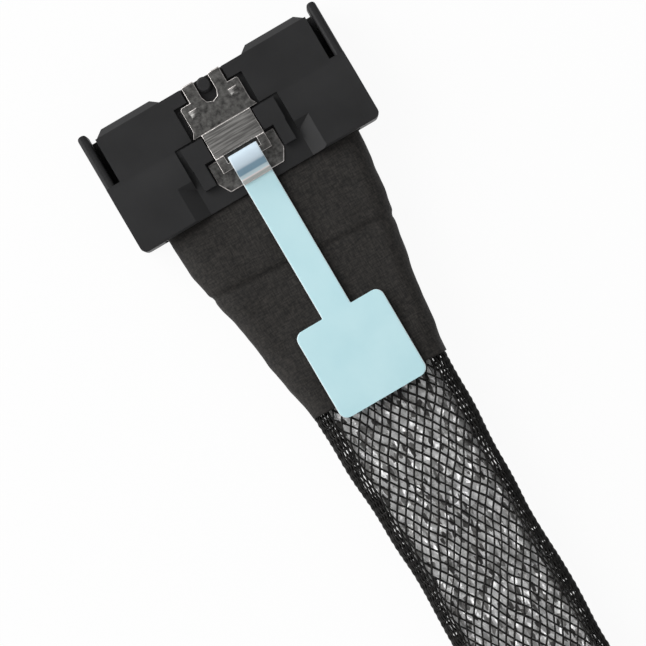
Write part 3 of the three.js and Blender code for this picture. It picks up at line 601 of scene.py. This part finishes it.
# Acetate cloth tape: a fine plain weave with a dull sheen. Its threads are 0.12 mm apart and drawn at
# 0.17 mm, the finest that shows, as short flecks that cross each other.
cloth, tree, shader, place = surface("acetate_cloth_tape", Roughness=0.78)
shader.inputs["Specular IOR Level"].default_value = 0.35
flecks = []
for across, along in ((FLECK_WIDTH, FLECK_LENGTH), (FLECK_LENGTH, FLECK_WIDTH)):
    drawn = add(tree, "ShaderNodeMapping", {
        "Vector": place, "Scale": (1 / across, 1 / along, 1 / FLECK_DEPTH)})
    noise = add(tree, "ShaderNodeTexNoise", {"Vector": drawn.outputs[0], "Scale": 1.0, "Detail": 2.0})
    flecks.append(noise.outputs["Fac"])
tone = add(tree, "ShaderNodeMath", {0: flecks[0], 1: flecks[1]}, operation="MULTIPLY")
thread_colour = add(tree, "ShaderNodeValToRGB", {"Fac": tone.outputs[0]}, [
    (0.12, TAPE_BLACK), (0.42, TAPE_THREAD)])
tree.links.new(thread_colour.outputs["Color"], shader.inputs["Base Color"])
weave = add(tree, "ShaderNodeBump", {"Strength": 0.7, "Distance": 0.08 * MM, "Height": tone.outputs[0]})
tree.links.new(weave.outputs["Normal"], shader.inputs["Normal"])

for end in ENDS:
    name = f"{end}_cloth_tape"
    piece(name, tape_skin(name, end), cloth, nodes=[f"{end}_tape_wrap"])

# Housing shells
# Two mouldings of black glass-filled polymer, welded to each other along the middle of the plug. The upper
# one holds the latch's seat and guide blocks. Edges are slightly round, as they leave the mould.
SHELL_EDGE = 0.13 * MM
FLAT_LIMIT = math.radians(1)
EDGE_LIMIT = math.radians(25)
HOUSING_BLACK = "#1c1c1d"
HOUSING_GREY = "#242425"


def rounded_copy(name, node, edge, segments=2, limit=EDGE_LIMIT, materials=()):
    """A copy of a node's solid with clean flats and slightly round edges, which take the last material"""
    shape = bmesh.new()
    shape.from_mesh(bpy.data.objects[node].data)
    bmesh.ops.remove_doubles(shape, verts=shape.verts, dist=1e-6)
    bmesh.ops.dissolve_limit(shape, angle_limit=FLAT_LIMIT, verts=shape.verts, edges=shape.edges)
    mesh = bpy.data.meshes.new(name)
    shape.to_mesh(mesh)
    shape.free()
    for material in materials:
        mesh.materials.append(material)
    holder = bpy.data.objects.new(name, mesh)
    bpy.context.scene.collection.objects.link(holder)
    rounding = holder.modifiers.new("rounding", "BEVEL")
    rounding.limit_method = "ANGLE"
    rounding.angle_limit = limit
    rounding.width = edge
    rounding.segments = segments
    rounding.material = len(materials) - 1
    levelling = holder.modifiers.new("levelling", "WEIGHTED_NORMAL")
    levelling.keep_sharp = True
    mesh.shade_smooth()
    finished = bpy.data.meshes.new_from_object(holder.evaluated_get(bpy.context.evaluated_depsgraph_get()))
    bpy.data.objects.remove(holder)
    finished.name = name
    return finished


# Glass-filled polymer: moulded, slightly satin black, with the fine grain of the spark-eroded mould, whose
# pits are 0.05 mm and are drawn at 0.12 mm to show.
polymer, tree, shader, place = surface("glass_filled_polymer", IOR=1.55)
shader.inputs["Specular IOR Level"].default_value = 0.32
cloud = add(tree, "ShaderNodeTexNoise", {"Vector": place, "Scale": 1 / (6 * MM), "Detail": 5.0})
moulded_colour = add(tree, "ShaderNodeValToRGB", {"Fac": cloud.outputs["Fac"]}, [
    (0.3, HOUSING_BLACK), (0.7, HOUSING_GREY)])
tree.links.new(moulded_colour.outputs["Color"], shader.inputs["Base Color"])
pits = add(tree, "ShaderNodeTexNoise", {"Vector": place, "Scale": 1 / (0.12 * MM), "Detail": 2.0})
skin_grain = add(tree, "ShaderNodeBump", {
    "Strength": 0.25, "Distance": 0.01 * MM, "Height": pits.outputs["Fac"]})
tree.links.new(skin_grain.outputs["Normal"], shader.inputs["Normal"])
polish = add(tree, "ShaderNodeMapRange", {
    "Value": cloud.outputs["Fac"], "To Min": 0.48, "To Max": 0.58})
tree.links.new(polish.outputs[0], shader.inputs["Roughness"])

for end in ENDS:
    for half in ("upper", "lower"):
        name = f"{end}_{half}_moulding"
        node = f"{end}_{half}_shell"
        piece(name, rounded_copy(name, node, SHELL_EDGE), polymer, nodes=[node])

# Latch base and latch lever
# Both are stamped from 0.3 mm spring steel. The base lies fixed on the seat. The lever hooks over the
# front edge by two prongs, locks with two lances, and its rear ramp goes down when the tab is pulled.
STEEL_EDGE = 0.12 * MM
FOLD_LIMIT = math.radians(8)
STEEL_LIGHT = "#999895"
STEEL_DARK = "#504f4e"
# Painted highlight: near-white colour of the rounded edges and folds, partly the bare sheared metal
EDGE_HIGHLIGHT_BRIGHT = "#fbf5f2"
EDGE_HIGHLIGHT_DIM = "#c9c4c1"
LANCES_FROM = 10.8 * MM
LANCES_LENGTH = 2 * MM
LANCES_ABOVE = 3.72 * MM
LANCES_FACE_UP = 0.3
RAMP_PICK = (0.0, 3.5, 0.0)
GRAIN_LENGTH = 3.5 * MM
GRAIN_WIDTH = 0.22 * MM
# Share of the grain's tone that the forward-facing ramp keeps, as painted shade
RAMP_PAINTED_SHADE = 0.74

# Stamped spring steel: rolled sheet, mottled by its passivation, with brushed lines across the ramp only,
# painted darker there as painted shade
steel, tree, shader, place = surface("stamped_spring_steel", Metallic=1.0, Roughness=0.38)
pulled = add(tree, "ShaderNodeMapping", {
    "Vector": place, "Scale": (1 / GRAIN_LENGTH, 1 / GRAIN_WIDTH, 1 / GRAIN_WIDTH)})
rolling = add(tree, "ShaderNodeTexNoise", {"Vector": pulled.outputs[0], "Scale": 1.0, "Detail": 3.0})
mottle = add(tree, "ShaderNodeTexNoise", {
    "Vector": place, "Scale": 1 / (0.6 * MM), "Detail": 4.0, "Roughness": 0.6})
facing = add(tree, "ShaderNodeNewGeometry").outputs["Normal"]
forward = add(tree, "ShaderNodeVectorMath", {0: facing, 1: RAMP_PICK}, operation="DOT_PRODUCT")
on_ramp = add(tree, "ShaderNodeClamp", {"Value": forward.outputs["Value"]})
# Faces that look forward, which are the ramp, take the brushed lines darkened as painted shade
grain_in_painted_shade = add(tree, "ShaderNodeMath", {
    0: rolling.outputs["Fac"], 1: RAMP_PAINTED_SHADE}, operation="MULTIPLY")
marks = add(tree, "ShaderNodeMix", {
    "Factor": on_ramp.outputs[0], "A": mottle.outputs["Fac"], "B": grain_in_painted_shade.outputs[0]},
    data_type="FLOAT")
rolled_colour = add(tree, "ShaderNodeValToRGB", {"Fac": marks.outputs["Result"]}, [
    (0.3, STEEL_DARK), (0.7, STEEL_LIGHT)])
tree.links.new(rolled_colour.outputs["Color"], shader.inputs["Base Color"])
scratches = add(tree, "ShaderNodeBump", {
    "Strength": 0.35, "Distance": 0.015 * MM, "Height": marks.outputs["Result"]})
tree.links.new(scratches.outputs["Normal"], shader.inputs["Normal"])

# Sheared steel edge: the bare metal that the stamping tool leaves all round the sheet, painted near white as
# a highlight on every rounded edge and fold
edge_highlight, tree, shader, place = surface("sheared_edge_painted_highlight", Metallic=0.85, Roughness=0.36)
burnish = add(tree, "ShaderNodeTexNoise", {"Vector": place, "Scale": 1 / (0.4 * MM), "Detail": 3.0})
edge_highlight_colour = add(tree, "ShaderNodeValToRGB", {"Fac": burnish.outputs["Fac"]}, [
    (0.35, EDGE_HIGHLIGHT_DIM), (0.6, EDGE_HIGHLIGHT_BRIGHT)])
tree.links.new(edge_highlight_colour.outputs["Color"], shader.inputs["Base Color"])

for end in ENDS:
    for node, name, body in ((f"{end}_latch_base", f"{end}_steel_base", "root"),
                             (f"{end}_latch_lever", f"{end}_steel_lever", f"{end}_latch")):
        sheet = rounded_copy(name, node, STEEL_EDGE, 1, FOLD_LIMIT, (steel, edge_highlight))
        # The lances are so small that the painted edge highlight would fill them, so their tops keep the
        # rolled finish
        for face in sheet.polygons:
            on_lance = LANCES_FROM < face.center.y - PLUG[end].y < LANCES_FROM + LANCES_LENGTH
            raised = face.center.z > PLUG[end].z + LANCES_ABOVE
            if on_lance and raised and face.normal.z > LANCES_FACE_UP:
                face.material_index = 0
        piece(name, sheet, steel, body=body, nodes=[node])

# Pull tab
# One strip of pale blue polyester film, cut wide at its rear as a pad to pinch. Its narrow strap lies on
# the tape, goes under the lever's bar, up through the window and back over, and is bonded to itself.
FILM = 0.3 * MM
FILM_BLUE = "#c2e8ef"
FILM_PALE = "#caedf3"
FILM_RIM_HIGHLIGHT = "#eef7fa"

# Measures of the strip in mm, forward of the plug's rear edge or to one side of its middle
STRAP_HALF = 2.05
PAD_HALF = 6.2
PAD_FRONT = -18.3
PAD_REAR = -30.6
PAD_CORNER = 1.1
NECK = 0.12

# Centre line of the strip, from the pad's end to the end of the fold: place forward and height, in mm
FILM_RUN = [
    (-30.4, 4.53), (-29, 4.53), (-24, 4.4), (-19.8, 4.28), (-14.8, 4.06), (-9.8, 3.84), (-4, 3.73),
    (-1.5, 3.76), (0, 3.84), (1.2, 3.94), (2.2, 4.22), (3.25, 4.6), (4.3, 4.66), (4.78, 4.82),
    (4.95, 5.1), (4.82, 5.38), (4.4, 5.58), (3.7, 5.62), (3.2, 5.48), (2.75, 5.08), (2.3, 4.62),
    (1.9, 4.38), (1.55, 4.3), (1.15, 4.25),
]
FILM_PARTS = 10
NEAR_BAR_POINT = 9
TURN_POINT = 12

# Bands painted across the fold for the steel under it and the shade there, from BANDS_FROM to BANDS_REACH:
# forward of the rear edge (mm), and colour
BANDS_FROM = 0.85
BANDS_REACH = 6
FILM_PAINTED_BANDS = [
    (1.0, "#c8ecf1"), (1.12, "#e9dedb"), (1.2, "#a9adaa"), (1.52, "#a9adaa"), (1.66, "#eadfdd"),
    (1.85, "#cfe3ea"), (2.2, "#cfe3ea"), (2.36, "#8fb1c6"), (3.0, "#96b6ca"), (3.2, "#cfe0ec"),
]


def film_strip(name, end):
    """The strip as a thin closed skin along its run, with round edges and a round-cornered pad"""
    run = smooth_run(FILM_RUN, FILM_PARTS)
    marks = [PAD_REAR + PAD_CORNER * (1 - math.cos(a)) for a in np.linspace(0, math.pi / 2, 7)]
    marks += [PAD_FRONT - PAD_CORNER * (1 - math.cos(a)) for a in np.linspace(math.pi / 2, 0, 7)]
    marks += [PAD_FRONT + NECK * share for share in (0.0, 0.35, 0.7, 1.0)]
    first_fold = TURN_POINT * FILM_PARTS
    out_y = run[:first_fold, 0]
    out_z = run[:first_fold, 1]
    lower_y = np.unique(np.concatenate([marks, out_y[::3], out_y[NEAR_BAR_POINT * FILM_PARTS:]]))
    lower = np.column_stack([lower_y, np.interp(lower_y, out_y, out_z)])
    front_row = np.searchsorted(lower_y, PAD_FRONT)
    line = np.vstack([lower[:front_row + 1], lower[front_row:], run[first_fold:]])
    half = np.full(len(line), STRAP_HALF)
    for row in range(front_row + 1):
        y = line[row, 0]
        from_end = min(y - PAD_REAR, PAD_FRONT - y, PAD_CORNER)
        half[row] = PAD_HALF - PAD_CORNER + math.sqrt(max(PAD_CORNER**2 - (PAD_CORNER - from_end) ** 2, 0))
    for row in range(front_row + 1, len(line)):
        if line[row, 0] < PAD_FRONT + NECK and row < front_row + 8:
            half[row] = STRAP_HALF + NECK * (1 - (line[row, 0] - PAD_FRONT) / NECK) ** 2
    slope = np.gradient(line, axis=0)
    slope[front_row] = slope[front_row - 1]
    slope[front_row + 1] = slope[front_row + 2]
    slope /= np.linalg.norm(slope, axis=1)[:, None]
    normal = np.column_stack([-slope[:, 1], slope[:, 0]])
    sides = np.array([-1] * 7 + [0] + [1] * 7 + [0])
    inset = np.array([0.3, 0.1, 0.03, 0, 0.03, 0.1, 0.3, 0] * 2)
    upward_edge = np.array([-0.5, -0.5, -0.4, 0, 0.4, 0.5, 0.5, 0.5])
    lift = np.concatenate([upward_edge, -upward_edge]) * FILM
    x = sides * (half[:, None] - inset) * MM
    y = PLUG[end].y + line[:, :1] * MM + normal[:, :1] * lift
    z = PLUG[end].z + line[:, 1:] * MM + normal[:, 1:] * lift
    mesh = skins(name, [np.stack([x, y, z], axis=-1)])
    mesh.set_sharp_from_angle(angle=math.radians(40))
    lay = np.zeros(x.shape + (3,))
    # Marks the cut rims, which take a painted highlight
    lay[:, :, 0] = np.where(inset < 0.1, np.abs(sides), 0)
    lay[:, :, 1] = line[:, :1]
    mesh.attributes.new("lay", "FLOAT_VECTOR", "POINT").data.foreach_set("vector", lay.ravel())
    return mesh


# Polyester film: smooth, tinted a pale cyan, slightly uneven in tone where it is bonded. Its cut rims are
# painted paler as a highlight, and bands are painted across its fold round the bar for the steel under it and
# for painted shade.
film, tree, shader, place = surface("polyester_film", Roughness=0.45, IOR=1.6)
shader.inputs["Specular IOR Level"].default_value = 0.25
tint = add(tree, "ShaderNodeTexNoise", {"Vector": place, "Scale": 1 / (5 * MM), "Detail": 3.0})
body_colour = add(tree, "ShaderNodeValToRGB", {"Fac": tint.outputs["Fac"]}, [
    (0.3, FILM_BLUE), (0.7, FILM_PALE)])
film_lay = add(tree, "ShaderNodeAttribute", attribute_name="lay")
film_place = add(tree, "ShaderNodeSeparateXYZ", {"Vector": film_lay.outputs["Vector"]})
band_place = add(tree, "ShaderNodeMath", {
    0: film_place.outputs["Y"], 1: 1 / BANDS_REACH}, operation="MULTIPLY")
painted_band_colour = add(tree, "ShaderNodeValToRGB", {"Fac": band_place.outputs[0]}, [
    (y / BANDS_REACH, colour) for y, colour in FILM_PAINTED_BANDS])
in_bands = add(tree, "ShaderNodeMapRange", {
    "Value": film_place.outputs["Y"], "From Min": BANDS_FROM, "From Max": FILM_PAINTED_BANDS[0][0]})
banded = add(tree, "ShaderNodeMix", {
    "Factor": in_bands.outputs[0], 6: body_colour.outputs["Color"], 7: painted_band_colour.outputs["Color"]},
    data_type="RGBA")
# Painted highlight: the cut rims are made paler
rim_highlighted = add(tree, "ShaderNodeMix", {
    "Factor": film_place.outputs["X"], 6: banded.outputs[2], 7: linear(FILM_RIM_HIGHLIGHT)}, data_type="RGBA")
tree.links.new(rim_highlighted.outputs[2], shader.inputs["Base Color"])
flow = add(tree, "ShaderNodeBump", {"Strength": 0.12, "Distance": 0.05 * MM, "Height": tint.outputs["Fac"]})
tree.links.new(flow.outputs["Normal"], shader.inputs["Normal"])

for end in ENDS:
    name = f"{end}_film_tab"
    made = piece(name, film_strip(name, end), film, body=None, nodes=[f"{end}_pull_tab"])
    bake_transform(made)

# Paddle card and contacts
# A 1 mm circuit board of glass laminate under green solder mask, with a chamfered nose. On each face, 37
# gold-plated pads at 0.6 mm pitch meet the socket's springs.
CARD_EDGE = 0.04 * MM
GOLD_EDGE = 0.015 * MM
MASK_GREEN = "#1d4a33"
MASK_LIGHT = "#2d6648"
GOLD_LIGHT = "#f0cf7a"
GOLD_DEEP = "#c99a3e"

# Solder mask on laminate: green lacquer with a soft gloss, mottled at 0.8 mm by the glass cloth under it
mask, tree, shader, place = surface("solder_mask_on_laminate", Roughness=0.35, IOR=1.5)
glass_cloth = add(tree, "ShaderNodeTexNoise", {"Vector": place, "Scale": 1 / (0.8 * MM), "Detail": 4.0})
mask_colour = add(tree, "ShaderNodeValToRGB", {"Fac": glass_cloth.outputs["Fac"]}, [
    (0.3, MASK_GREEN), (0.7, MASK_LIGHT)])
tree.links.new(mask_colour.outputs["Color"], shader.inputs["Base Color"])

# Hard gold plate: smooth bright metal, uneven in colour by about 0.5 mm where springs have wiped it
gold, tree, shader, place = surface("hard_gold_plate", Metallic=1.0, Roughness=0.25)
wipe = add(tree, "ShaderNodeTexNoise", {"Vector": place, "Scale": 1 / (0.5 * MM), "Detail": 3.0})
gold_colour = add(tree, "ShaderNodeValToRGB", {"Fac": wipe.outputs["Fac"]}, [
    (0.3, GOLD_DEEP), (0.6, GOLD_LIGHT)])
tree.links.new(gold_colour.outputs["Color"], shader.inputs["Base Color"])

for end in ENDS:
    name = f"{end}_circuit_card"
    node = f"{end}_paddle_card"
    piece(name, rounded_copy(name, node, CARD_EDGE), mask, nodes=[node])
    for face in ("upper", "lower"):
        name = f"{end}_{face}_pads"
        node = f"{end}_{face}_contacts"
        piece(name, rounded_copy(name, node, GOLD_EDGE, 1), gold, nodes=[node])

# Inner mould
# A block of dark hot-melt polyamide, moulded over the solder joints between the card and the ribbons. It
# fills the chamber of the housing and keeps any pull off the joints.
MELT_EDGE = 0.15 * MM
MELT_BROWN = "#37352f"
MELT_LIGHT = "#4a473f"

# Hot-melt polyamide: dark brown plastic with a soft gloss, slightly cloudy where it has flowed
melt, tree, shader, place = surface("hot_melt_polyamide", Roughness=0.5, IOR=1.5)
swirl = add(tree, "ShaderNodeTexNoise", {"Vector": place, "Scale": 1 / (3 * MM), "Detail": 4.0})
flow_colour = add(tree, "ShaderNodeValToRGB", {"Fac": swirl.outputs["Fac"]}, [
    (0.3, MELT_BROWN), (0.7, MELT_LIGHT)])
tree.links.new(flow_colour.outputs["Color"], shader.inputs["Base Color"])

for end in ENDS:
    name = f"{end}_hot_melt_block"
    node = f"{end}_inner_mould"
    piece(name, rounded_copy(name, node, MELT_EDGE), melt, nodes=[node])

# Path of the whole cable
# Points spread evenly along the middle of its route. Its length is what the route measures.
CORD_POINTS = 211
cord_path = on_route(np.linspace(0, CABLE_LENGTH, CORD_POINTS), 0, 0).tolist()
